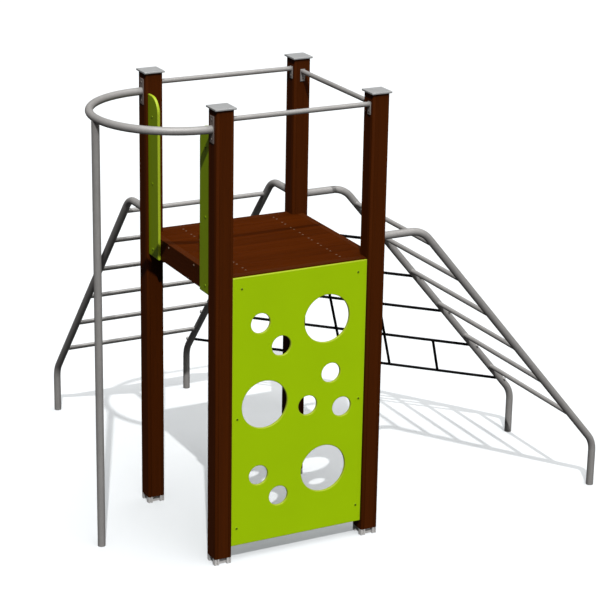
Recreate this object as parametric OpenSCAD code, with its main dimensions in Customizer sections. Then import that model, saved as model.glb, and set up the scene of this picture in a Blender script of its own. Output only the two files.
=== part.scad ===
// Playground climbing tower on four square posts: a raised deck with a pierced
// panel in front, two grips and a hoop with a sliding pole on the left, a rung
// ladder behind, a rung ladder on the right and a rope net in the corner between.
// Millimetres. Origin: middle of the front left post's foot. +X right, +Y back, +Z up.

/* [Posts] */
// Width of each square post
post_w = 100; // [92:1:110]
// Distance between post centres
spacing = 900; // [760:10:1080]
// Height of the top of the post covering
post_top = 2525; // [2450:5:3000]
// Height of the bare metal foot below the covering
foot_h = 35; // [25:1:60]
// Corner radius of the post covering
post_round = 8; // [4:1:12]
// Wall thickness of the post covering
clad_wall = 8; // [6:1:11]
// Wall thickness of the metal core
core_wall = 4; // [3:0.5:6]
// Width of the clip grooves in the metal foot
groove_w = 6; // [4:1:9]
// Distance of each clip groove from the middle of its face
groove_at = 36; // [30:1:39]
// Depth of the clip grooves
groove_d = 7; // [4:1:9]
// Width of the recess in the middle of each foot face
recess_w = 46; // [38:1:52]
// Depth of that recess
recess_d = 16; // [12:1:18]
// Width of each square cap
cap_w = 120; // [114:1:144]
// Thickness of the cap plate
cap_t = 10; // [6:1:14]

/* [Deck] */
// Height of the deck surface
deck_z = 1627; // [1360:1:1900]
// Number of deck boards
board_n = 8; // [8:1:8]
// Thickness of the deck boards
board_t = 28; // [22:1:34]
// Gap between neighbouring boards
board_gap = 3; // [2:0.5:6]
// Full height of the deck frame
beam_h = 118; // [98:1:142]
// Thickness of the edge beams
beam_t = 40; // [34:1:48]
// Distance of the frame's outer face inside the posts' outer faces
frame_set = 28; // [24:1:34]
// Distance of each joist from the middle of the deck
joist_at = 280; // [235:5:330]
// Width of the joists
joist_w = 45; // [38:1:60]
// Distance between the two screws of a pair
screw_pair = 38; // [32:1:46]
// Diameter of the deck screw heads
screw_head = 10; // [8:1:12]
// Distance of each seam of the left beam from its middle
seam_at = 164; // [137:1:197]
// Width and depth of the seams
seam_w = 3; // [2:0.5:4]

/* [Panels] */
// Thickness of the plastic panels
panel_t = 16; // [13:1:19]
// Height of the front panel's lower edge
panel_bot = 90; // [75:1:108]
// Distance of the front panel's upper edge below the deck surface
panel_drop = 8; // [6:1:10]
// Diameter of the large holes
big_hole = 270; // [225:5:300]
// Diameter of the small holes
small_hole = 112; // [93:1:125]
// Width of the two grips
grip_w = 130; // [110:1:156]
// Height of the top of the grips
grip_top = 2415; // [2390:5:2420]
// Corner radius of the grips
grip_round = 88; // [75:1:125]
// Diameter of the panel bolt heads
bolt_head = 14; // [12:1:17]
// Thickness of the hidden angle brackets
angle_t = 4; // [3:0.5:5]
// Length of each angle bracket leg
angle_leg = 70; // [66:1:84]
// Height of each angle bracket
angle_h = 50; // [40:1:60]

/* [Top rails and hoop] */
// Diameter of the top rails and the ladder rungs
rail_d = 27; // [22.5:0.5:32]
// Height of the front and back top rails
rail_z = 2468; // [2440:1:2480]
// How much lower the right top rail sits
rail_step = 14; // [0:1:20]
// Wall thickness of all tubes
tube_wall = 2.6; // [2:0.1:3.5]
// How far the front and back top rails sit in front of the posts' middles
rail_shift = 15; // [0:1:20]
// Width of the rail end plates
tab_w = 28; // [26:1:34]
// Thickness of the rail end plates
tab_t = 5; // [4:0.5:6]
// Length of the rail end plates below the rail's middle
tab_drop = 55; // [46:1:66]
// Diameter of the hoop, the pole and the ladder side tubes
tube_d = 43; // [36:0.5:51]
// Height of the hoop
hoop_z = 2420; // [2400:1:2430]
// Width of the hoop end plates
plate_w = 44; // [38:1:60]
// Height of the hoop end plates
plate_h = 142; // [120:1:170]
// Thickness of the hoop end plates
plate_t = 4; // [3:0.5:8]

/* [Ladders] */
// Height of the ladder side tubes above the deck
stile_rise = 100; // [84:1:120]
// Distance from the post's middle to the upper bend's corner
stile_out = 306; // [260:1:366]
// Slope of the ladders below level
slope = 50; // [45:1:58]
// Height of the lower bend's corner
leg_h = 275; // [230:1:320]
// Bend radius of the side tubes
bend_r = 150; // [125:1:175]
// Number of rungs on each ladder
rung_n = 6; // [5:1:7]
// Distance of the top rung below the side tube's level part
rung_drop = 97; // [92:1:110]
// Height of the lowest rung above the lower bend's corner
rung_rise = 192; // [170:1:220]

/* [Rope net] */
// Diameter of the ropes
rope_d = 16; // [14:0.5:20]
// Distance of the top rope below the side tube's level part
net_drop = 356; // [330:1:400]
// Height of the lowest rope above the lower bend's corner
net_rise = 92; // [80:1:110]
// Distance between neighbouring upright ropes
mesh_w = 311; // [260:1:330]
// Diameter of the rope ends' caps
end_d = 20; // [18:0.5:24]
// How far a rope end's cap stands beyond the side tube
end_proud = 11; // [9:0.5:14]

/* [Hidden] */
$fn = 40;

// Half the post spacing, and the posts' outer and inner faces
half = spacing / 2;
outer = half + post_w / 2;
inner = half - post_w / 2;

// Running clearance between fitted pieces
fit = 0.1;
// How far a cutting shape runs past the solid it cuts
over = 1;

// Deck frame faces and levels
frame_out = outer - frame_set;
frame_in = frame_out - beam_t;
beam_bot = deck_z - beam_h;
deck_bot = deck_z - board_t;
board_pitch = 2 * frame_in / board_n;

// Front panel
panel_face = frame_out + panel_t;
panel_top = deck_z - panel_drop;
panel_half = inner - 1;
panel_h = panel_top - panel_bot;
// Hole centres as shares of the panel's width and height
big_at = [[0.705, 0.804], [0.246, 0.521], [0.698, 0.236]];
small_at = [[0.209, 0.824], [0.365, 0.730], [0.743, 0.598], [0.570, 0.489], [0.831, 0.462],
    [0.204, 0.256], [0.357, 0.163]];
panel_bolt_low = panel_bot + 102;
panel_bolt_mid = panel_bot + 0.483 * panel_h;
panel_bolt_top = deck_z - 69;
panel_bolt_in = inner - 34;
panel_bolt_top_in = inner - 55;

// Grips
grip_bolt_in = inner - 57;
grip_bolt_low = beam_bot + 43;
grip_bolt_top = grip_top - 115;
grip_bolt_mid = (grip_bolt_low + grip_bolt_top) / 2;

// Fastener shanks
shank_d = 6;
head_t = 3;
deck_shank_d = 5;
deck_shank_l = 44;
bolt_l = 34;

// Ladder path
rail_r = rail_d / 2;
tube_r = tube_d / 2;
stile_z = deck_z + stile_rise;
reach = stile_out + (stile_z - leg_h) / tan(slope);
turn_top = bend_r * tan(slope / 2);
turn_low = bend_r * tan((90 - slope) / 2);
run = (reach - stile_out) / cos(slope);
// Bending thins the wall a little, and each straight laps the bend's end
bend_thin = 0.2;
bend_lap = 2;
rung_first = stile_z - rung_drop;
rung_last = leg_h + rung_rise;
rung_pitch = (rung_first - rung_last) / (rung_n - 1);

// Rope net
rope_r = rope_d / 2;
rope_n = 5;
net_first = stile_z - net_drop;
net_pitch = (net_first - leg_h - net_rise) / (rope_n - 1);
net_lean = atan(1 / (tan(slope) * sqrt(2)));
net_step = net_pitch / cos(net_lean);
// Uprights as [place from the middle, first rope, last rope]
uprights = [[0, 1, 5], [-1, 2, 5], [1, 2, 5], [-2, 4, 5], [2, 4, 5]];

brown = [0.27, 0.10, 0.02];
deck_brown = [0.36, 0.15, 0.03];
green = [0.57, 0.72, 0.02];
steel = [0.67, 0.66, 0.65];
light_metal = [0.74, 0.75, 0.76];
black = [0.03, 0.03, 0.03];

// Distance out from the post's middle where the ladder slope is at a height
function out_at(z) = stile_out + (stile_z - z) / tan(slope);
function rung_z(i) = rung_first - (i - 1) * rung_pitch;
function rope_z(i) = net_first - (i - 1) * net_pitch;

// ---- shared shapes ----
// Each piece is drawn about the middle of the four posts, and placed() moves it.

module rounded_square(w, r) {
    square([w, w - 2 * r], center = true);
    square([w - 2 * r, w], center = true);
    for (x = [-1, 1]) {
        for (y = [-1, 1]) {
            translate([x * (w / 2 - r), y * (w / 2 - r)])
                circle(r);
        }
    }
}

// Places children on a post face: local +X points away from the face
module on_face(x, y, a) {
    translate([x, y, 0])
        rotate([0, 0, a])
            children();
}

module on_rail_faces() {
    for (y = [-half, half]) {
        on_face(-inner, y - rail_shift, 0)
            children(0);
        on_face(inner, y - rail_shift, 180)
            children(0);
    }
    on_face(half, -inner, 90)
        children(1);
    on_face(half, inner, -90)
        children(1);
}

module on_hoop_faces() {
    on_face(-outer, -half, 180)
        children();
    on_face(-outer, half, 180)
        children();
}

// A rod along local +X from x0 to x1 at height z
module rod_x(x0, x1, z, d) {
    translate([x0, 0, z])
        rotate([0, 90, 0])
            cylinder(h = x1 - x0, d = d);
}

module plate_shanks(d) {
    reach_in = clad_wall + core_wall + 3;
    on_rail_faces() {
        rod_x(-reach_in, tab_t, rail_z - tab_drop + 16, d);
        rod_x(-reach_in, tab_t, rail_z - rail_step - tab_drop + 16, d);
    }
    on_hoop_faces() {
        for (s = [-1, 1]) {
            rod_x(-reach_in, plate_t, hoop_z + s * (plate_h / 2 - 20), d);
        }
    }
}

module tube_x(x0, x1, z, d) {
    difference() {
        rod_x(x0, x1, z, d);
        rod_x(x0 - over, x1 + over, z, d - 2 * tube_wall);
    }
}

// ---- posts ----

module cladding(x, y) {
    color(brown)
        difference() {
            translate([x, y, foot_h])
                linear_extrude(post_top - foot_h)
                    difference() {
                        rounded_square(post_w, post_round);
                        square(post_w - 2 * clad_wall, center = true);
                    }
            plate_shanks(shank_d + 2 * fit);
        }
}

module core(x, y) {
    core_w = post_w - 2 * clad_wall - 2 * fit;
    hollow = core_w - 2 * core_wall;
    color(light_metal)
        difference() {
            translate([x, y, 0]) {
                linear_extrude(foot_h)
                    difference() {
                        rounded_square(post_w, post_round);
                        for (a = [0, 90, 180, 270]) {
                            rotate(a)
                                translate([post_w / 2 - recess_d, -recess_w / 2])
                                    square([recess_d + over, recess_w]);
                            for (s = [-1, 1]) {
                                rotate(a)
                                    translate([post_w / 2 - groove_d, s * groove_at - groove_w / 2])
                                        square([groove_d + over, groove_w]);
                            }
                        }
                    }
                translate([0, 0, foot_h])
                    linear_extrude(post_top - foot_h)
                        square(core_w, center = true);
            }
            translate([x - hollow / 2, y - hollow / 2, foot_h + core_wall])
                cube([hollow, hollow, post_top]);
            plate_shanks(shank_d + 2 * fit);
        }
}

module cap(x, y) {
    color(light_metal)
        translate([x, y, post_top])
            linear_extrude(cap_t)
                rounded_square(cap_w, post_round / 2);
}

// ---- top rails, hoop and pole ----

module rail_front() {
    color(steel)
        translate([0, -half - rail_shift, 0])
            tube_x(-inner + tab_t, inner - tab_t, rail_z, rail_d);
}

module rail_back() {
    color(steel)
        translate([0, half - rail_shift, 0])
            tube_x(-inner + tab_t, inner - tab_t, rail_z, rail_d);
}

module rail_right() {
    color(steel)
        translate([half, 0, 0])
            rotate([0, 0, 90])
                tube_x(-inner + tab_t, inner - tab_t, rail_z - rail_step, rail_d);
}

module tab(z) {
    difference() {
        translate([0, -tab_w / 2, z - tab_drop])
            cube([tab_t, tab_w, tab_drop + rail_r]);
        rod_x(-over, tab_t + over, z - tab_drop + 16, shank_d + 2 * fit);
    }
}

module rail_plates() {
    color(steel)
        on_rail_faces() {
            tab(rail_z);
            tab(rail_z - rail_step);
        }
}

module hoop_ring(d) {
    translate([-outer - plate_t, 0, hoop_z])
        rotate([0, 0, 90])
            rotate_extrude(angle = 180)
                translate([half, 0])
                    circle(d = d);
}

module hoop() {
    color(steel)
        difference() {
            hoop_ring(tube_d);
            hoop_ring(tube_d - 2 * tube_wall);
        }
}

module hoop_plates() {
    color(steel)
        on_hoop_faces()
            difference() {
                translate([0, -plate_w / 2, hoop_z - plate_h / 2])
                    cube([plate_t, plate_w, plate_h]);
                for (s = [-1, 1]) {
                    rod_x(-over, plate_t + over, hoop_z + s * (plate_h / 2 - 20), shank_d + 2 * fit);
                }
            }
}

module pole() {
    color(steel)
        difference() {
            translate([-outer - plate_t - half, 0, 0])
                difference() {
                    cylinder(h = hoop_z - tube_r / 2, d = tube_d);
                    translate([0, 0, tube_wall])
                        cylinder(h = hoop_z, d = tube_d - 2 * tube_wall);
                }
            hoop_ring(tube_d + 2 * fit);
        }
}

module plate_screws() {
    color(steel) {
        plate_shanks(shank_d);
        on_rail_faces() {
            rod_x(tab_t, tab_t + head_t, rail_z - tab_drop + 16, 2 * shank_d);
            rod_x(tab_t, tab_t + head_t, rail_z - rail_step - tab_drop + 16, 2 * shank_d);
        }
        on_hoop_faces() {
            for (s = [-1, 1]) {
                rod_x(plate_t, plate_t + head_t, hoop_z + s * (plate_h / 2 - 20), 2 * shank_d);
            }
        }
    }
}

// ---- deck ----

module beam_x(y0) {
    translate([-inner, y0, beam_bot])
        cube([2 * inner, beam_t, beam_h]);
}

module beam_front() {
    color(brown)
        difference() {
            beam_x(-frame_out);
            front_shanks(shank_d + 2 * fit, panel_bolt_top_in, panel_bolt_top);
        }
}

module beam_back() {
    color(brown)
        beam_x(frame_in);
}

module beam_left() {
    color(brown)
        difference() {
            translate([-frame_out, -inner, beam_bot])
                cube([beam_t, 2 * inner, beam_h]);
            for (s = [-1, 1]) {
                translate([-frame_out - over, s * seam_at - seam_w / 2, beam_bot - over])
                    cube([seam_w + over, seam_w, beam_h - 24 + over]);
            }
            beam_shanks(shank_d + 2 * fit);
            grip_shanks(shank_d + 2 * fit, grip_bolt_low);
        }
}

module beam_right() {
    color(brown)
        translate([frame_in, -inner, beam_bot])
            cube([beam_t, 2 * inner, beam_h]);
}

module beam_shanks(d) {
    for (s = [-1, 1]) {
        translate([-frame_out, s * seam_at, 0])
            rod_x(0, 20, deck_z - 19, d);
    }
}

module beam_bolts() {
    color(steel) {
        beam_shanks(shank_d);
        for (s = [-1, 1]) {
            translate([-frame_out, s * seam_at, 0])
                rod_x(-head_t, 0, deck_z - 19, 2 * shank_d);
        }
    }
}

module joist(x) {
    color(brown)
        difference() {
            translate([x - joist_w / 2, -frame_in, beam_bot])
                cube([joist_w, 2 * frame_in, deck_bot - beam_bot]);
            deck_shanks(deck_shank_d + 2 * fit, deck_shank_l);
        }
}

module screw_places() {
    for (x = [-joist_at, joist_at]) {
        for (i = [1 : board_n]) {
            for (s = [-1, 1]) {
                translate([x, (i - 0.5) * board_pitch - frame_in + s * screw_pair / 2, deck_z])
                    children();
            }
        }
    }
}

module deck_shanks(d, l) {
    screw_places()
        translate([0, 0, -l])
            cylinder(h = l, d = d);
}

module deck_heads(d, l) {
    screw_places()
        translate([0, 0, -head_t])
            cylinder(h = l, d = d);
}

module deck_screws() {
    color(steel) {
        deck_shanks(deck_shank_d, deck_shank_l);
        deck_heads(screw_head, head_t);
    }
}

module board(i) {
    y0 = (i - 1) * board_pitch - frame_in;
    color(deck_brown)
        difference() {
            translate([-frame_in, y0 + board_gap / 2, deck_bot])
                cube([2 * frame_in, board_pitch - board_gap, board_t]);
            for (x = [-half, half]) {
                for (y = [-half, half]) {
                    translate([x - post_w / 2 - fit, y - post_w / 2 - fit, deck_bot - over])
                        cube([post_w + 2 * fit, post_w + 2 * fit, board_t + 2 * over]);
                }
            }
            board_screw_cuts(y0);
        }
}

module board_screw_cuts(y0) {
    for (x = [-joist_at, joist_at]) {
        for (s = [-1, 1]) {
            translate([x, y0 + board_pitch / 2 + s * screw_pair / 2, deck_bot - over])
                cylinder(h = board_t + over, d = deck_shank_d + 2 * fit);
            translate([x, y0 + board_pitch / 2 + s * screw_pair / 2, deck_z - head_t - fit])
                cylinder(h = head_t + over, d = screw_head + 2 * fit);
        }
    }
}

// ---- panels ----

// Bolt shanks of the front panel at a height, a distance each side of the middle
module front_shanks(d, x, z) {
    for (s = [-1, 1]) {
        translate([s * x, -panel_face, z])
            rotate([-90, 0, 0])
                cylinder(h = bolt_l, d = d);
    }
}

module front_heads(x, z) {
    for (s = [-1, 1]) {
        translate([s * x, -panel_face, z])
            rotate([90, 0, 0])
                cylinder(h = head_t, d = bolt_head);
    }
}

module grip_shanks(d, z) {
    for (s = [-1, 1]) {
        translate([-panel_face, s * grip_bolt_in, 0])
            rod_x(0, bolt_l, z, d);
    }
}

module grip_heads(z) {
    for (s = [-1, 1]) {
        translate([-panel_face, s * grip_bolt_in, 0])
            rod_x(-head_t, 0, z, bolt_head);
    }
}

module all_shanks(d) {
    front_shanks(d, panel_bolt_in, panel_bolt_low);
    front_shanks(d, panel_bolt_in, panel_bolt_mid);
    front_shanks(d, panel_bolt_top_in, panel_bolt_top);
    grip_shanks(d, grip_bolt_low);
    grip_shanks(d, grip_bolt_mid);
    grip_shanks(d, grip_bolt_top);
}

module panel_hole(at, d) {
    translate([panel_half * (2 * at[0] - 1), -panel_face - over, panel_bot + at[1] * panel_h])
        rotate([-90, 0, 0])
            cylinder(h = panel_t + 2 * over, d = d);
}

module front_panel() {
    color(green)
        difference() {
            translate([-panel_half, -panel_face, panel_bot])
                cube([2 * panel_half, panel_t, panel_h]);
            for (at = big_at) {
                panel_hole(at, big_hole);
            }
            for (at = small_at) {
                panel_hole(at, small_hole);
            }
            front_shanks(shank_d + 2 * fit, panel_bolt_in, panel_bolt_low);
            front_shanks(shank_d + 2 * fit, panel_bolt_in, panel_bolt_mid);
            front_shanks(shank_d + 2 * fit, panel_bolt_top_in, panel_bolt_top);
        }
}

// Straight on the post side, with the upper opening-side corner rounded
module grip_outline() {
    h = grip_top - beam_bot;
    intersection() {
        translate([0, beam_bot])
            square([grip_w, h]);
        union() {
            translate([0, beam_bot])
                square([grip_w, h - grip_round]);
            translate([0, beam_bot])
                square([grip_w - grip_round, h]);
            translate([grip_w - grip_round, grip_top - grip_round])
                circle(r = grip_round, $fn = 96);
        }
    }
}

// A grip standing against the front post's back face
module grip() {
    color(green)
        difference() {
            translate([-panel_face, -inner, 0])
                rotate([90, 0, 90])
                    linear_extrude(panel_t)
                        grip_outline();
            for (z = [grip_bolt_low, grip_bolt_mid, grip_bolt_top]) {
                grip_shanks(shank_d + 2 * fit, z);
            }
        }
}

module grip_front() {
    grip();
}

module grip_back() {
    mirror([0, 1, 0])
        grip();
}

module panel_bolts() {
    color(steel) {
        all_shanks(shank_d);
        front_heads(panel_bolt_in, panel_bolt_low);
        front_heads(panel_bolt_in, panel_bolt_mid);
        front_heads(panel_bolt_top_in, panel_bolt_top);
        for (z = [grip_bolt_low, grip_bolt_mid, grip_bolt_top]) {
            grip_heads(z);
        }
    }
}

// An angle with one leg along +X behind a panel and one leg along +Y on a post
module angle_piece() {
    translate([0, 0, -angle_h / 2]) {
        cube([angle_leg, angle_t, angle_h]);
        cube([angle_t, frame_set, angle_h]);
    }
}

module panel_brackets() {
    color(steel)
        difference() {
            union() {
                for (z = [panel_bolt_low, panel_bolt_mid]) {
                    for (m = [0, 1]) {
                        mirror([m, 0, 0])
                            translate([-inner, -frame_out, z])
                                angle_piece();
                    }
                }
                for (z = [grip_bolt_mid, grip_bolt_top]) {
                    for (m = [0, 1]) {
                        mirror([0, m, 0])
                            translate([-frame_out, -inner, z])
                                mirror([1, -1, 0])
                                    angle_piece();
                    }
                }
            }
            all_shanks(shank_d + 2 * fit);
        }
}

// ---- ladders ----
// Ladder frame: local +X runs out from the posts' middle line, Y across the rungs

module back_ladder() {
    translate([0, half, 0])
        rotate([0, 0, 90])
            children();
}

module right_ladder() {
    translate([half, 0, 0])
        children();
}

module tube_section(thin) {
    difference() {
        circle(d = tube_d - 2 * thin);
        circle(d = tube_d - 2 * tube_wall + 2 * thin);
    }
}

// A bend about a centre, from angle a above level through an arc of sweep
module bend(x, z, a, sweep) {
    translate([x, 0, z])
        rotate([90, 0, 0])
            rotate([0, 0, a])
                rotate_extrude(angle = sweep)
                    translate([bend_r, 0])
                        tube_section(bend_thin);
}

// A straight length from a point, turned down from level by an angle
module straight(x, z, down, l) {
    translate([x, 0, z])
        rotate([0, 90 + down, 0])
            linear_extrude(l)
                tube_section(0);
}

module slope_rod(from, l, d) {
    translate([stile_out + from * cos(slope), 0, stile_z - from * sin(slope)])
        rotate([0, 90 + slope, 0])
            cylinder(h = l, d = d);
}

module stile() {
    slope_x = stile_out + (turn_top - bend_lap) * cos(slope);
    slope_z = stile_z - (turn_top - bend_lap) * sin(slope);
    level_end = stile_out - turn_top;
    leg_top = leg_h - turn_low;
    color(steel) {
        straight(post_w / 2, stile_z, 0, level_end + bend_lap - post_w / 2);
        bend(level_end, stile_z - bend_r, 90 - slope, slope);
        straight(slope_x, slope_z, slope, run - turn_top - turn_low + 2 * bend_lap);
        bend(reach - bend_r, leg_top, 0, 90 - slope);
        straight(reach, leg_top + bend_lap, 90, leg_top + bend_lap);
    }
}

module back_stile(side) {
    back_ladder()
        translate([0, side * half, 0])
            stile();
}

module right_stile(side) {
    right_ladder()
        translate([0, side * half, 0])
            stile();
}

// Solid slope of both side tubes, used to cope whatever meets them
module slopes(d) {
    for (y = [-half, half]) {
        translate([0, y, 0])
            slope_rod(turn_top, run - turn_top - turn_low, d);
    }
}

module rungs() {
    color(steel)
        difference() {
            for (i = [1 : rung_n]) {
                translate([out_at(rung_z(i)), 0, rung_z(i)])
                    rotate([-90, 0, 0])
                        difference() {
                            cylinder(h = spacing, d = rail_d, center = true);
                            cylinder(h = spacing + over, d = rail_d - 2 * tube_wall, center = true);
                        }
            }
            slopes(tube_d + 2 * fit);
        }
}

module back_rungs() {
    back_ladder()
        rungs();
}

module right_rungs() {
    right_ladder()
        rungs();
}

// ---- rope net ----

module rope_rod(i, d) {
    out = out_at(rope_z(i));
    translate([half, half + out, rope_z(i)])
        rotate([0, 0, -45])
            rotate([0, 90, 0])
                cylinder(h = out * sqrt(2), d = d);
}

module net_slopes(d) {
    back_ladder()
        translate([0, -half, 0])
            slope_rod(turn_top, run - turn_top - turn_low, d);
    right_ladder()
        translate([0, half, 0])
            slope_rod(turn_top, run - turn_top - turn_low, d);
}

module rope(i) {
    color(black)
        difference() {
            rope_rod(i, rope_d);
            net_slopes(tube_d + 2 * fit);
        }
}

// Caps that hold a rope's two ends through the side tubes
module rope_end_pair(i) {
    out = out_at(rope_z(i));
    reach_out = tube_d / 2 + end_proud;
    translate([half, half + out, rope_z(i)])
        rotate([0, 0, -45])
            rotate([0, 90, 0])
                for (z = [-reach_out, out * sqrt(2)]) {
                    translate([0, 0, z])
                        cylinder(h = reach_out, d = end_d);
                }
}

module rope_ends() {
    color(steel)
        difference() {
            for (i = [1 : rope_n]) {
                rope_end_pair(i);
            }
            net_slopes(tube_d + 2 * fit);
        }
}

// One upright piece from rope i down to the next rope
module upright_piece(place, i) {
    mid = half + out_at(rope_z(i)) / 2;
    side = place * mesh_w / sqrt(2);
    translate([mid + side, mid - side, rope_z(i)])
        rotate([0, 0, 45])
            rotate([0, 180 - net_lean, 0])
                translate([0, 0, rope_r / 2])
                    cylinder(h = net_step - rope_r, d = rope_d);
}

module net_uprights() {
    color(black)
        difference() {
            for (u = uprights) {
                for (i = [u[1] : u[2] - 1]) {
                    upright_piece(u[0], i);
                }
            }
            for (i = [1 : rope_n]) {
                rope_rod(i, rope_d + 2 * fit);
            }
        }
}

// Moves a piece from the frame about the tower's middle to the origin's frame
module placed() {
    translate([half, half, 0])
        children();
}

// ---- one line per node ----

placed() cladding(-half, -half);  // post_fl
placed() cladding(half, -half);  // post_fr
placed() cladding(-half, half);  // post_bl
placed() cladding(half, half);  // post_br
placed() core(-half, -half);  // core_fl
placed() core(half, -half);  // core_fr
placed() core(-half, half);  // core_bl
placed() core(half, half);  // core_br
placed() cap(-half, -half);  // cap_fl
placed() cap(half, -half);  // cap_fr
placed() cap(-half, half);  // cap_bl
placed() cap(half, half);  // cap_br
placed() rail_front();
placed() rail_back();
placed() rail_right();
placed() rail_plates();
placed() hoop();
placed() hoop_plates();
placed() pole();
placed() plate_screws();
placed() beam_front();
placed() beam_back();
placed() beam_left();
placed() beam_right();
placed() joist(-joist_at);  // joist_left
placed() joist(joist_at);  // joist_right
placed() board(1);  // board_1
placed() board(2);  // board_2
placed() board(3);  // board_3
placed() board(4);  // board_4
placed() board(5);  // board_5
placed() board(6);  // board_6
placed() board(7);  // board_7
placed() board(8);  // board_8
placed() deck_screws();
placed() beam_bolts();
placed() front_panel();
placed() grip_front();
placed() grip_back();
placed() panel_bolts();
placed() panel_brackets();
placed() back_stile(1);  // stile_bl
placed() back_stile(-1);  // stile_br_back
placed() back_rungs();  // rungs_back
placed() right_stile(-1);  // stile_fr
placed() right_stile(1);  // stile_br_right
placed() right_rungs();  // rungs_right
placed() rope(1);  // rope_1
placed() rope(2);  // rope_2
placed() rope(3);  // rope_3
placed() rope(4);  // rope_4
placed() rope(5);  // rope_5
placed() net_uprights();
placed() rope_ends();
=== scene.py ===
"""Playground climbing tower: looks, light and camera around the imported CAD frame."""
import math

import bmesh
import bpy
from mathutils import Matrix, Vector


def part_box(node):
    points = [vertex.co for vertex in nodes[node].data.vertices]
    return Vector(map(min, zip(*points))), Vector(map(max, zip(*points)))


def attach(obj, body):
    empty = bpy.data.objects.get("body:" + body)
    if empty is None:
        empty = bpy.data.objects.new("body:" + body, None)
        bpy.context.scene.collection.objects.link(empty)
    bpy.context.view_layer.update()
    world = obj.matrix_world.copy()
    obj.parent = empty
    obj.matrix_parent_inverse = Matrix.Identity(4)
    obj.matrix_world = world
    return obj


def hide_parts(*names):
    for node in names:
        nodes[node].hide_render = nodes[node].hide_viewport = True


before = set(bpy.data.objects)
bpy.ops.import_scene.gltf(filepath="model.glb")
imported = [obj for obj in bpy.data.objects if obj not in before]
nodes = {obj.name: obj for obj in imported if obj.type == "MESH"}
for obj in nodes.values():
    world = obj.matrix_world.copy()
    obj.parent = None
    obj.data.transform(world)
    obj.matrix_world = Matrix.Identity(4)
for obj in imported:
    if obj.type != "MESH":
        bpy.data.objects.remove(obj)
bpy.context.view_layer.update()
scene = bpy.context.scene
MM = 0.001

# ---------------------------------------------------------------- camera

CAMERA_AT = Vector((-4.4842, -9.5047, 5.1351))
CAMERA_YAW, CAMERA_PITCH, CAMERA_ROLL = (math.radians(a) for a in (27.516, 19.055, 1.009))
CAMERA_LENS = 128.03
CAMERA_SENSOR = 36.0


def make_camera():
    """Looks down at the tower from the front left."""
    yaw, pitch, roll = CAMERA_YAW, CAMERA_PITCH, CAMERA_ROLL
    ahead = Vector((math.sin(yaw) * math.cos(pitch), math.cos(yaw) * math.cos(pitch), -math.sin(pitch)))
    right = Vector((math.cos(yaw), -math.sin(yaw), 0.0))
    up = right.cross(ahead)
    right_rolled = math.cos(roll) * right + math.sin(roll) * up
    up_rolled = -math.sin(roll) * right + math.cos(roll) * up
    data = bpy.data.cameras.new("camera")
    data.lens, data.sensor_width = CAMERA_LENS, CAMERA_SENSOR
    data.clip_end = 400.0
    camera = bpy.data.objects.new("camera", data)
    turn = Matrix((right_rolled, up_rolled, -ahead)).transposed()
    camera.matrix_world = Matrix.Translation(CAMERA_AT) @ turn.to_4x4()
    scene.collection.objects.link(camera)
    scene.camera = camera


# ---------------------------------------------------------------- materials

# texture scales in waves per metre: across the grain, then along it
GRAIN_STREAKS = (38.0, 0.9)
GRAIN_PORES = (260.0, 7.0)
DRAWN_LINES = (600.0, 6.0)

# texture scales in waves per metre, the same every way
PLASTIC_CLOUD = 3.0
PLASTIC_SKIN = 420.0
METAL_SPANGLE = 55.0
METAL_CLOUD = 7.0
METAL_GRIT = 240.0
ROPE_FIBRES = 500.0


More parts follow.
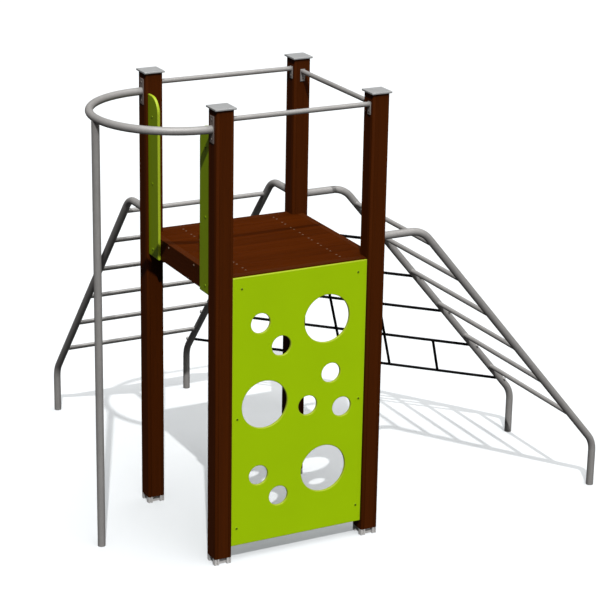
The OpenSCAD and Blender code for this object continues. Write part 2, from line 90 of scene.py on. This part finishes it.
class Nodes:
    """A small helper that builds one material's node tree."""

    def __init__(self, name):
        self.material = bpy.data.materials.new(name)
        self.material.use_nodes = True
        self.tree = self.material.node_tree
        self.shader = self.tree.nodes["Principled BSDF"]
        self.where = self.add("ShaderNodeTexCoord").outputs["Object"]

    def add(self, kind, **settings):
        node = self.tree.nodes.new(kind)
        for key, value in settings.items():
            setattr(node, key, value)
        return node

    def link(self, source, target):
        self.tree.links.new(source, target)

    def stretched(self, scale):
        """The object's own coordinates, scaled by axis."""
        mapping = self.add("ShaderNodeMapping")
        mapping.inputs["Scale"].default_value = scale
        self.link(self.where, mapping.inputs["Vector"])
        return mapping.outputs["Vector"]

    def noise(self, scale, detail=4.0, roughness=0.55, vector=None, size=1.0):
        tex = self.add("ShaderNodeTexNoise")
        tex.inputs["Scale"].default_value = size
        tex.inputs["Detail"].default_value = detail
        tex.inputs["Roughness"].default_value = roughness
        self.link(vector or self.stretched(scale), tex.inputs["Vector"])
        return tex.outputs["Fac"]

    def cells(self, scale, size=1.0):
        tex = self.add("ShaderNodeTexVoronoi")
        tex.inputs["Scale"].default_value = size
        self.link(self.stretched(scale), tex.inputs["Vector"])
        return tex.outputs["Color"]

    def ramp(self, source, stops):
        ramp = self.add("ShaderNodeValToRGB")
        while len(ramp.color_ramp.elements) < len(stops):
            ramp.color_ramp.elements.new(0.5)
        for element, (place, colour) in zip(ramp.color_ramp.elements, stops):
            element.position = place
            element.color = (*colour, 1.0)
        self.link(source, ramp.inputs["Fac"])
        return ramp.outputs["Color"]

    def span(self, source, low, high, from_low=0.3, from_high=0.7):
        """Maps a texture's value to a range."""
        ranged = self.add("ShaderNodeMapRange")
        ranged.inputs["From Min"].default_value = from_low
        ranged.inputs["From Max"].default_value = from_high
        ranged.inputs["To Min"].default_value = low
        ranged.inputs["To Max"].default_value = high
        self.link(source, ranged.inputs["Value"])
        return ranged.outputs["Result"]

    def blend(self, kind, first, second, share=1.0):
        mix = self.add("ShaderNodeMix", data_type="RGBA", blend_type=kind)
        mix.inputs["Factor"].default_value = share
        self.link(first, mix.inputs["A"])
        self.link(second, mix.inputs["B"])
        return mix.outputs["Result"]

    def bump(self, height, strength, distance):
        bump = self.add("ShaderNodeBump")
        bump.inputs["Strength"].default_value = strength
        bump.inputs["Distance"].default_value = distance
        self.link(height, bump.inputs["Height"])
        self.link(bump.outputs["Normal"], self.shader.inputs["Normal"])

    def set(self, **values):
        for key, value in values.items():
            self.shader.inputs[key.replace("_", " ")].default_value = value


def shade(colour, by):
    return tuple(min(c * by, 1.0) for c in colour)


def along(axis, scales):
    """A texture scale for each axis: the second of two scales along one axis, the first across it."""
    across, lengthwise = scales
    return tuple(lengthwise if i == axis else across for i in range(3))


def even(scale):
    """The same texture scale on every axis."""
    return (scale, scale, scale)


def grey(value):
    return (value, value, value)


def grained(name, colour, axis, contrast, gloss, board=None, shine=0.05):
    """Stained timber or wood-look covering, with its grain along one axis, varied from board to board."""
    m = Nodes(name)
    streaks = m.noise(along(axis, GRAIN_STREAKS), 6.0, 0.6)
    dark, light = shade(colour, 1 - contrast), shade(colour, 1 + contrast)
    tone = m.ramp(streaks, [(0.30, dark), (0.52, colour), (0.72, light)])
    pores = m.noise(along(axis, GRAIN_PORES), 3.0, 0.5)
    pore_tone = m.ramp(pores, [(0.36, grey(0.80)), (0.50, grey(1.0))])
    tone = m.blend("MULTIPLY", tone, pore_tone, 0.6)
    if board:
        start, pitch = board
        split = m.add("ShaderNodeSeparateXYZ")
        m.link(m.where, split.inputs["Vector"])
        step = m.add("ShaderNodeMath", operation="SUBTRACT")
        step.inputs[1].default_value = start
        m.link(split.outputs["Y"], step.inputs[0])
        count = m.add("ShaderNodeMath", operation="DIVIDE")
        count.inputs[1].default_value = pitch
        m.link(step.outputs[0], count.inputs[0])
        whole = m.add("ShaderNodeMath", operation="FLOOR")
        m.link(count.outputs[0], whole.inputs[0])
        chance = m.add("ShaderNodeTexWhiteNoise", noise_dimensions="1D")
        m.link(whole.outputs[0], chance.inputs["W"])
        each = m.ramp(chance.outputs["Value"], [(0.0, grey(0.90)), (1.0, grey(1.0))])
        tone = m.blend("MULTIPLY", tone, each, 1.0)
    m.link(tone, m.shader.inputs["Base Color"])
    m.link(m.span(pores, gloss + 0.10, gloss - 0.06), m.shader.inputs["Roughness"])
    m.set(Specular_IOR_Level=shine)
    m.bump(pores, 0.25, 0.0006)
    return m.material


def moulded(name, colour):
    """Satin sheet plastic with a faint orange-peel skin."""
    m = Nodes(name)
    cloud = m.noise(even(PLASTIC_CLOUD), 3.0)
    tone = m.ramp(cloud, [(0.3, shade(colour, 0.975)), (0.7, shade(colour, 1.02))])
    m.link(tone, m.shader.inputs["Base Color"])
    skin = m.noise(even(PLASTIC_SKIN), 2.0)
    m.link(m.span(skin, 0.30, 0.36), m.shader.inputs["Roughness"])
    m.set(Specular_IOR_Level=0.20)
    m.bump(skin, 0.12, 0.0004)
    return m.material


def metal(name, colour, metallic, gloss, streak_axis=None):
    """Satin metal with a soft spangle, and a fine grit or drawn lines along an axis."""
    m = Nodes(name)
    spangle = m.cells(even(METAL_SPANGLE))
    level = m.add("ShaderNodeRGBToBW")
    m.link(spangle, level.inputs["Color"])
    cloud = m.noise(even(METAL_CLOUD), 4.0)
    tone = m.ramp(cloud, [(0.3, shade(colour, 0.93)), (0.7, shade(colour, 1.05))])
    flakes = m.ramp(level.outputs["Val"], [(0.0, grey(0.93)), (1.0, grey(1.0))])
    tone = m.blend("MULTIPLY", tone, flakes, 1.0)
    m.link(tone, m.shader.inputs["Base Color"])
    scale = even(METAL_GRIT) if streak_axis is None else along(streak_axis, DRAWN_LINES)
    lines = m.noise(scale, 2.0)
    m.link(m.span(lines, gloss - 0.05, gloss + 0.08), m.shader.inputs["Roughness"])
    m.set(Metallic=metallic, Specular_IOR_Level=0.5)
    m.bump(lines, 0.08, 0.0003)
    return m.material


def braided(name, colour):
    """Matt fibre, as of the rope's strands."""
    m = Nodes(name)
    fibres = m.noise(even(ROPE_FIBRES), 4.0)
    tone = m.ramp(fibres, [(0.3, shade(colour, 0.6)), (0.7, shade(colour, 1.8))])
    m.link(tone, m.shader.inputs["Base Color"])
    m.link(m.span(fibres, 0.60, 0.85), m.shader.inputs["Roughness"])
    m.set(Specular_IOR_Level=0.1)
    m.bump(fibres, 0.3, 0.0005)
    return m.material


BROWN = (0.053, 0.0105, 0.0006)
DECK_BROWN = (0.054, 0.0098, 0.0004)
GREEN = (0.32, 0.51, 0.0006)
# the grips are the panel's green sheet, darkened here as painted shade
SHADED_GRIP_GREEN = (0.222, 0.325, 0.0005)
# paler yellowish green on the sheets' edge faces: a painted highlight along the edges
EDGE_HIGHLIGHT_GREEN = (0.32, 0.41, 0.020)
STEEL = (0.290, 0.280, 0.270)
# darker, pinkish steel for the plates and their screws: painted shade
PLATE_STEEL = (0.20, 0.165, 0.15)
SCREW_BROWN = (0.20, 0.13, 0.09)
SCREW_GREY = (0.30, 0.29, 0.28)
CAP_GREY = (0.385, 0.39, 0.39)
FOOT_GREY = (0.60, 0.585, 0.57)
ROPE_BLACK = (0.0022, 0.0022, 0.0022)
# near-black for the insides of the sockets: painted shade in the hollow
PAINTED_SOCKET_SHADE = (0.012, 0.011, 0.010)

FIRST_BOARD_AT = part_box("board_1")[0].y
BOARD_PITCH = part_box("board_2")[0].y - FIRST_BOARD_AT
MATERIALS = {
    "post_cover": grained("wood_look_cover", BROWN, 2, 0.10, 0.50),
    "deck_wood": grained("deck_timber", DECK_BROWN, 0, 0.14, 0.62, (FIRST_BOARD_AT, BOARD_PITCH), 0.015),
    "frame_wood_x": grained("frame_timber_x", BROWN, 0, 0.12, 0.60),
    "frame_wood_y": grained("frame_timber_y", BROWN, 1, 0.12, 0.60),
    "panel_plastic": moulded("green_sheet", GREEN),
    "tube_steel": metal("satin_steel", STEEL, 0.15, 0.50),
    "shaded_grip_plastic": moulded("shaded_green_grip", SHADED_GRIP_GREEN),
    "green_bolt": moulded("green_bolt_cap", shade(GREEN, 0.55)),
    "edge_highlight": moulded("sheet_edge_highlight", EDGE_HIGHLIGHT_GREEN),
    "plate_steel": metal("shaded_plate_steel", PLATE_STEEL, 0.1, 0.5),
    "painted_socket_shade": braided("socket_shadow", PAINTED_SOCKET_SHADE),
    "deck_screw": metal("browned_screw", SCREW_BROWN, 0.2, 0.5),
    "fastener_steel": metal("screw_steel", SCREW_GREY, 0.3, 0.45),
    "cap_metal": metal("cap_aluminium", CAP_GREY, 0.30, 0.45, 0),
    "bare_aluminium": metal("foot_aluminium", FOOT_GREY, 0.15, 0.40, 2),
    "rope": braided("black_rope", ROPE_BLACK),
}


def paint(thing, material):
    thing.data.materials.clear()
    thing.data.materials.append(MATERIALS[material])


# ---------------------------------------------------------------- pieces

FLAT_WIDTH = 20 * MM
SHARP_ANGLE = math.radians(38.0)
WELD_WITHIN = 1e-6


def add_piece(name, bm, material, replaced=()):
    """Makes a mesh a piece of the object, riding on its one body; wide faces stay flat."""
    smooth = []
    for face in bm.faces:
        longest = max(edge.calc_length() for edge in face.edges)
        smooth.append(face.smooth and face.calc_area() / longest < FLAT_WIDTH)
    mesh = bpy.data.meshes.new(name)
    bm.to_mesh(mesh)
    bm.free()
    mesh.set_sharp_from_angle(angle=SHARP_ANGLE)
    mesh.polygons.foreach_set("use_smooth", smooth)
    piece = bpy.data.objects.new(name, mesh)
    scene.collection.objects.link(piece)
    mesh.materials.append(MATERIALS[material])
    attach(piece, "root")
    if replaced:
        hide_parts(*replaced)
    return piece


def ring_of(bm, centre, radius, side, up, steps, start=0.0):
    """New vertices evenly round a circle, from a starting angle."""
    turns = [start + math.tau * k / steps for k in range(steps)]
    return [bm.verts.new(centre + radius * (math.cos(t) * side + math.sin(t) * up)) for t in turns]


def bridge(bm, rings, materials=None):
    """Smooth faces between neighbouring rings, each band with its own material number."""
    count = len(rings[0])
    for band, (one, two) in enumerate(zip(rings, rings[1:])):
        for k in range(count):
            j = (k + 1) % count
            face = bm.faces.new((one[k], one[j], two[j], two[k]))
            face.smooth = True
            face.material_index = materials[band] if materials else 0


# ---------------------------------------------------------------- prisms from the frame

LEVEL_WITHIN = 2e-5
STRAIGHT_WITHIN = 1e-3
CIRCLE_POINTS = 72
LEAST_CIRCLE_POINTS = 10
CIRCLE_RADII_WITHIN = 0.98
CIRCLE_SIDES_WITHIN = 0.6
ROUND_STEPS = 3


def face_loops(node, axis, level):
    """The closed outlines of a CAD node's flat faces at one level along an axis."""
    bm = bmesh.new()
    bm.from_mesh(nodes[node].data)
    bmesh.ops.remove_doubles(bm, verts=bm.verts, dist=WELD_WITHIN)
    flat = {f for f in bm.faces if all(abs(v.co[axis] - level) < LEVEL_WITHIN for v in f.verts)}
    edges = [e for e in bm.edges if sum(f in flat for f in e.link_faces) == 1]
    follow = {}
    for edge in edges:
        face = next(f for f in edge.link_faces if f in flat)
        loop = next(l for l in face.loops if l.edge == edge)
        follow[loop.vert.index] = loop.link_loop_next.vert.index
    bm.verts.ensure_lookup_table()
    others = [i for i in range(3) if i != axis]
    loops = []
    while follow:
        start = min(follow)
        at, loop = follow.pop(start), [start]
        while at != start:
            loop.append(at)
            at = follow.pop(at)
        loops.append([Vector((bm.verts[i].co[others[0]], bm.verts[i].co[others[1]])) for i in loop])
    bm.free()
    return [rounder(straightened(loop)) for loop in loops]


def straightened(loop):
    """Drops the points that lie on a straight run."""
    kept = []
    for i, point in enumerate(loop):
        before, after = point - loop[i - 1], loop[(i + 1) % len(loop)] - point
        if abs(before.normalized().cross(after.normalized())) > STRAIGHT_WITHIN:
            kept.append(point)
    return kept


def rounder(loop):
    """A loop that is a circle is drawn again with more points."""
    middle = sum(loop, Vector((0.0, 0.0))) / len(loop)
    radii = [(p - middle).length for p in loop]
    sides = [(p - loop[i - 1]).length for i, p in enumerate(loop)]
    if len(loop) < LEAST_CIRCLE_POINTS:
        return loop
    if min(radii) < CIRCLE_RADII_WITHIN * max(radii) or min(sides) < CIRCLE_SIDES_WITHIN * max(sides):
        return loop
    turn = 1 if area(loop) > 0 else -1
    radius = max(radii)
    step = turn * math.tau / CIRCLE_POINTS
    turns = [i * step for i in range(CIRCLE_POINTS)]
    return [middle + radius * Vector((math.cos(t), math.sin(t))) for t in turns]


def area(loop):
    """A loop's area, which is negative where the loop runs clockwise."""
    return sum(a.cross(b) for a, b in zip(loop, loop[1:] + loop[:1])) / 2


def inset(loop, distance):
    """Moves a loop's sides towards the solid, which lies on their left."""
    moved = []
    for i, point in enumerate(loop):
        before = (point - loop[i - 1]).normalized()
        after = (loop[(i + 1) % len(loop)] - point).normalized()
        left = Vector((-before.y - after.y, before.x + after.x))
        half_turn = 1 + before.dot(after)
        moved.append(point + left * (distance / max(half_turn, 0.2)))
    return moved


def prism(node, axis, edge, material, reshape=None, side=None):
    """Rebuilds a node that is a straight extrusion along an axis, with rounded edges.

    Where side names a material, the faces along the axis take it, and the two ends keep the first.
    """
    bottom, top = (corner[axis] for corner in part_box(node))
    others = [i for i in range(3) if i != axis]
    loops = face_loops(node, axis, top)
    biggest = max(loops, key=lambda l: abs(area(l)))
    if area(biggest) < 0:
        loops = [list(reversed(l)) for l in loops]
    if reshape:
        loops = reshape(loops)
    quarter = [k / ROUND_STEPS * math.pi / 2 for k in range(ROUND_STEPS + 1)]
    rounding = [(edge * (1 - math.cos(t)), edge * (1 - math.sin(t))) for t in quarter]
    rings = [(bottom + away, back) for away, back in rounding]
    rings += [(top - away, back) for away, back in reversed(rounding)]
    bm = bmesh.new()
    ends = ([], [])
    for loop in loops:
        stack = []
        for level, back in rings:
            ring = []
            for p in inset(loop, back):
                at = Vector((0.0, 0.0, 0.0))
                at[others[0]], at[others[1]], at[axis] = p.x, p.y, level
                ring.append(bm.verts.new(at))
            stack.append(ring)
        bridge(bm, stack, [int(side is not None)] * (len(stack) - 1))
        for ring, end in ((stack[0], ends[0]), (stack[-1], ends[1])):
            end.extend(bm.edges.get((ring[i - 1], ring[i])) for i in range(len(ring)))
    for end in ends:
        filled = bmesh.ops.triangle_fill(bm, edges=end, use_beauty=True, use_dissolve=False)
        for face in filled["geom"]:
            if isinstance(face, bmesh.types.BMFace):
                face.smooth = False
                face.material_index = 0
    bmesh.ops.recalc_face_normals(bm, faces=bm.faces)
    piece = add_piece(node + "_piece", bm, material, (node,))
    if side:
        piece.data.materials.append(MATERIALS[side])


BEVEL_OVER = math.radians(35.0)
FLAT_WITHIN = math.radians(1.0)


def softened(node, width, material):
    """A copy of a node's mesh with its hard edges rounded."""
    bm = bmesh.new()
    bm.from_mesh(nodes[node].data)
    bmesh.ops.remove_doubles(bm, verts=bm.verts, dist=WELD_WITHIN)
    bmesh.ops.dissolve_limit(bm, angle_limit=FLAT_WITHIN, verts=bm.verts, edges=bm.edges)
    hard = [e for e in bm.edges if len(e.link_faces) == 2 and e.calc_face_angle(0.0) > BEVEL_OVER]
    bmesh.ops.bevel(bm, geom=hard, offset=width, segments=2, profile=0.5, affect="EDGES",
                    clamp_overlap=True)
    for face in bm.faces:
        face.smooth = True
    return add_piece(node + "_piece", bm, material, (node,))


# ---------------------------------------------------------------- posts

COVER_FACE_OVER = 50 * MM
COVER_GROOVE_AT = 31 * MM
GROOVE_HALF_WIDTH = 1.8 * MM
GROOVE_DEPTH = 2.4 * MM


def grooved(loops):
    """Cuts a shallow groove near both ends of each outer face of a cover."""
    outer = max(loops, key=lambda l: abs(area(l)))
    rest = [l for l in loops if l is not outer]
    middle = sum(outer, Vector((0.0, 0.0))) / len(outer)
    cut = []
    for i, point in enumerate(outer):
        cut.append(point)
        after = outer[(i + 1) % len(outer)]
        run = after - point
        if run.length < COVER_FACE_OVER:
            continue
        ahead = run.normalized()
        inward = Vector((-ahead.y, ahead.x))
        face_middle = point + ahead * (middle - point).dot(ahead)
        for side in (-1, 1):
            at = face_middle + ahead * (side * COVER_GROOVE_AT)
            half = ahead * GROOVE_HALF_WIDTH
            cut += [at - half, at + inward * GROOVE_DEPTH, at + half]
    return [cut, *rest]


def make_posts():
    for corner in ("fl", "fr", "bl", "br"):
        prism("post_" + corner, 2, 0.8 * MM, "post_cover", grooved)
        prism("cap_" + corner, 2, 2.0 * MM, "cap_metal")
        paint(nodes["core_" + corner], "bare_aluminium")


# ---------------------------------------------------------------- deck and panels


def make_deck():
    for i in range(1, 9):
        prism(f"board_{i}", 2, 2.0 * MM, "deck_wood")
    for side in ("front", "back"):
        softened("beam_" + side, 2.5 * MM, "frame_wood_x")
    for side in ("left", "right"):
        softened("beam_" + side, 2.5 * MM, "frame_wood_y")
        softened("joist_" + side, 2.0 * MM, "frame_wood_y")


def make_panels():
    # the sheets' edge faces take the paler green, a painted highlight
    prism("front_panel", 1, 3.5 * MM, "panel_plastic", side="edge_highlight")
    for side in ("front", "back"):
        # the grips take the darker green, a painted shade
        prism("grip_" + side, 0, 3.5 * MM, "shaded_grip_plastic", side="edge_highlight")
    softened("panel_brackets", 0.6 * MM, "fastener_steel")


# ---------------------------------------------------------------- tubes

TUBES = ("rail_front", "rail_back", "rail_right", "hoop", "pole", "stile_bl", "stile_br_back",
         "rungs_back", "stile_fr", "stile_br_right", "rungs_right")


def make_tubes():
    for node in TUBES:
        paint(nodes[node], "tube_steel")
    softened("rail_plates", 1.2 * MM, "tube_steel")
    softened("hoop_plates", 1.2 * MM, "plate_steel")
    softened("rope_ends", 0.8 * MM, "fastener_steel")


# ---------------------------------------------------------------- ropes

STRANDS = 6
STRAND_SIDES = 7
STRAND_BULGE = 1.10
STRAND_SHARE = 0.40
CORE_SHARE = 0.45
LAY_LENGTH = 95 * MM
STATION = 7 * MM
AXIS_ROUNDS = 12


def solids(node):
    """Vertex positions of each separate solid in a node."""
    bm = bmesh.new()
    bm.from_mesh(nodes[node].data)
    bmesh.ops.remove_doubles(bm, verts=bm.verts, dist=WELD_WITHIN)
    left, groups = set(bm.verts), []
    while left:
        todo, group = [min(left, key=lambda v: v.index)], []
        left.discard(todo[0])
        while todo:
            vert = todo.pop()
            group.append(vert.co.copy())
            for edge in vert.link_edges:
                other = edge.other_vert(vert)
                if other in left:
                    left.discard(other)
                    todo.append(other)
        groups.append(group)
    bm.free()
    return sorted(groups, key=lambda g: tuple(round(c, 4) for c in sum(g, Vector()) / len(g)))


def long_axis(points):
    """The two ends of a straight rod and its radius, from its surface points."""
    middle = sum(points, Vector()) / len(points)
    far = max(points, key=lambda p: (p - middle).length)
    ahead = (far - middle).normalized()
    away = [p - middle for p in points]
    for _ in range(AXIS_ROUNDS):
        ahead = sum((a.dot(ahead) * a for a in away), Vector()).normalized()
    reach = [a.dot(ahead) for a in away]
    radius = max((a - ahead * a.dot(ahead)).length for a in away)
    return middle + ahead * min(reach), middle + ahead * max(reach), radius


def frame_of(ahead):
    """Two directions square to one that isn't upright, and to each other."""
    side = ahead.cross(Vector((0, 0, 1))).normalized()
    return side, side.cross(ahead).normalized()


def twist_rope(bm, start, end, radius):
    """Six strands laid round a core, from start to end."""
    ahead = (end - start).normalized()
    side, up = frame_of(ahead)
    length = (end - start).length
    steps = max(4, round(length / STATION))
    strand = radius * STRAND_SHARE
    lay = radius - strand
    tubes = [(0.0, radius * CORE_SHARE, 0.0)]
    tubes += [(lay, strand, k * math.tau / STRANDS) for k in range(STRANDS)]
    for off, thick, phase in tubes:
        rings = []
        for s in range(steps + 1):
            along_it = length * s / steps
            turn = phase + math.tau * along_it / LAY_LENGTH
            centre = start + ahead * along_it + off * (math.cos(turn) * side + math.sin(turn) * up)
            rings.append(ring_of(bm, centre, thick, side, up, STRAND_SIDES, turn))
        bridge(bm, rings)
        bm.faces.new(rings[0])
        bm.faces.new(rings[-1])


def make_ropes():
    for node in [f"rope_{i}" for i in range(1, 6)] + ["net_uprights"]:
        bm = bmesh.new()
        for points in solids(node):
            start, end, radius = long_axis(points)
            twist_rope(bm, start, end, radius * STRAND_BULGE)
        bmesh.ops.recalc_face_normals(bm, faces=bm.faces)
        add_piece(node + "_strands", bm, "rope", (node,))


# ---------------------------------------------------------------- fasteners

HEAD_STEPS = 24
DOME_STEPS = 4
SOCKET_CORNER = math.tau / 6
SOCKET_FLOOR_AT = 0.45
SOCKET_FLOOR_SHARE = 0.95
UPRIGHT_OVER = 0.9
HEAD_RIM_OVER = 0.9


def round_head(bm, centre, out, radius, height, dome, socket):
    """A turned head with a six-sided socket: centre is on its seat and out is its axis."""
    side, up = Vector((1, 0, 0)), Vector((0, 1, 0))
    if abs(out.z) < UPRIGHT_OVER:
        side, up = frame_of(out)
    profile = [(radius, 0.0), (radius, height * (1 - dome))]
    for k in range(1, DOME_STEPS):
        turn = k / DOME_STEPS * math.pi / 2
        top = height * (1 - dome) + height * dome * math.sin(turn)
        profile.append((socket + (radius - socket) * math.cos(turn), top))
    profile.append((socket, height))
    rings = [ring_of(bm, centre + out * h, r, side, up, HEAD_STEPS) for r, h in profile]
    half_corner = SOCKET_CORNER / 2
    floor = []
    for k in range(HEAD_STEPS):
        a = math.tau * k / HEAD_STEPS
        flat = math.cos(half_corner) / math.cos((a % SOCKET_CORNER) - half_corner)
        reach = socket * SOCKET_FLOOR_SHARE * flat
        at = centre + out * (height * SOCKET_FLOOR_AT) + reach * (math.cos(a) * side + math.sin(a) * up)
        floor.append(bm.verts.new(at))
    rings.append(floor)
    # the socket's wall and floor take the second material, painted shade
    bridge(bm, rings, [0] * (len(rings) - 2) + [1])
    bm.faces.new(rings[0])
    bm.faces.new(floor).material_index = 1


def head_of(points):
    """A fastener's head: the middle of its seat, its outward axis, its radius and its height."""
    low = Vector([min(p[i] for p in points) for i in range(3)])
    high = Vector([max(p[i] for p in points) for i in range(3)])
    spans = list(high - low)
    axis = min(range(3), key=lambda i: abs(spans[(i + 1) % 3] - spans[(i + 2) % 3]))
    middle = (low + high) / 2
    radius = (spans[(axis + 1) % 3] + spans[(axis + 2) % 3]) / 4
    wide = [p[axis] for p in points if rim(p, middle, axis) > HEAD_RIM_OVER * radius]
    out = Vector((0.0, 0.0, 0.0))
    out[axis] = 1.0 if min(wide) - low[axis] > high[axis] - max(wide) else -1.0
    seat = middle.copy()
    seat[axis] = min(wide) if out[axis] > 0 else max(wide)
    return seat, out, radius, max(wide) - min(wide)


def rim(point, middle, axis):
    """A point's distance from an axis through the middle."""
    away = point - middle
    away[axis] = 0.0
    return away.length


# share of the height that is domed, share of the radius that is socket, and material
HEADS = {
    "deck_screws": (0.35, 0.40, "deck_screw"),
    "panel_bolts": (0.70, 0.50, "green_bolt"),
    "beam_bolts": (0.85, 0.50, "deck_screw"),
    "plate_screws": (0.85, 0.50, "plate_steel"),
}


def make_heads():
    for node, (dome, socket_share, material) in HEADS.items():
        bm = bmesh.new()
        for points in solids(node):
            seat, out, radius, height = head_of(points)
            round_head(bm, seat, out, radius, height, dome, radius * socket_share)
        bmesh.ops.recalc_face_normals(bm, faces=bm.faces)
        piece = add_piece(node + "_heads", bm, material, (node,))
        # second material: the painted shade inside the sockets
        piece.data.materials.append(MATERIALS["painted_socket_shade"])


# ---------------------------------------------------------------- light and floor

# each lamp's name, travel, energy, angle across in degrees, and whether surfaces mirror it
LAMPS = (
    ("key", (0.33, 0.745, -1.0), 3.14, 0.6, True),
    ("top", (-0.10, 0.15, -1.0), 2.9, 55.0, True),
    ("fill", (-0.28, 0.95, -0.25), 0.40, 40.0, True),
    ("back", (-0.30, -0.95, 0.0), 0.70, 40.0, False),
)
FLOOR_HALF = 120.0
FLOOR_BELOW = 0.5 * MM
FLOOR_COLOUR = (0.50, 0.51, 0.515, 1.0)
FLOOR_GLOW_COLOUR = (0.92, 0.97, 1.0, 1.0)
FLOOR_GLOW = 0.25

# the surroundings' brightness from straight down to straight up
SKY_STOPS = ((0.0, 0.07), (0.48, 0.05), (0.56, 0.05), (1.0, 0.06))
SKY_BLUE = 1.03


def make_lamps():
    for name, travel, energy, angle, mirrored in LAMPS:
        data = bpy.data.lights.new(name, "SUN")
        data.energy, data.angle = energy, math.radians(angle)
        lamp = bpy.data.objects.new(name, data)
        lamp.rotation_mode = "QUATERNION"
        lamp.rotation_quaternion = Vector(travel).to_track_quat("-Z", "Y")
        lamp.visible_glossy = mirrored
        scene.collection.objects.link(lamp)


def make_floor():
    mesh = bpy.data.meshes.new("floor")
    bm = bmesh.new()
    bmesh.ops.create_grid(bm, x_segments=8, y_segments=8, size=FLOOR_HALF)
    bm.to_mesh(mesh)
    bm.free()
    floor = bpy.data.objects.new("floor", mesh)
    floor.location.z = -FLOOR_BELOW
    scene.collection.objects.link(floor)
    m = Nodes("pale_floor")
    m.set(Roughness=0.9, Specular_IOR_Level=0.0)
    m.set(Base_Color=FLOOR_COLOUR, Emission_Color=FLOOR_GLOW_COLOUR, Emission_Strength=FLOOR_GLOW)
    floor.data.materials.append(m.material)
    floor.visible_diffuse = False
    floor.visible_glossy = False


def make_world():
    world = bpy.data.worlds.new("studio")
    scene.world = world
    world.use_nodes = True
    tree = world.node_tree
    back = tree.nodes["Background"]
    where = tree.nodes.new("ShaderNodeTexCoord")
    split = tree.nodes.new("ShaderNodeSeparateXYZ")
    ramp = tree.nodes.new("ShaderNodeValToRGB")
    half = tree.nodes.new("ShaderNodeMapRange")
    half.inputs["From Min"].default_value = -1.0
    tree.links.new(where.outputs["Generated"], split.inputs["Vector"])
    tree.links.new(split.outputs["Z"], half.inputs["Value"])
    tree.links.new(half.outputs["Result"], ramp.inputs["Fac"])
    tree.links.new(ramp.outputs["Color"], back.inputs["Color"])
    while len(ramp.color_ramp.elements) < len(SKY_STOPS):
        ramp.color_ramp.elements.new(0.5)
    for element, (place, level) in zip(ramp.color_ramp.elements, SKY_STOPS):
        element.position = place
        element.color = (level, level, level * SKY_BLUE, 1.0)
    back.inputs["Strength"].default_value = 1.0


make_camera()
scene.view_settings.view_transform = "Standard"
make_lamps()
make_floor()
make_world()
make_posts()
make_deck()
make_panels()
make_tubes()
make_ropes()
make_heads()
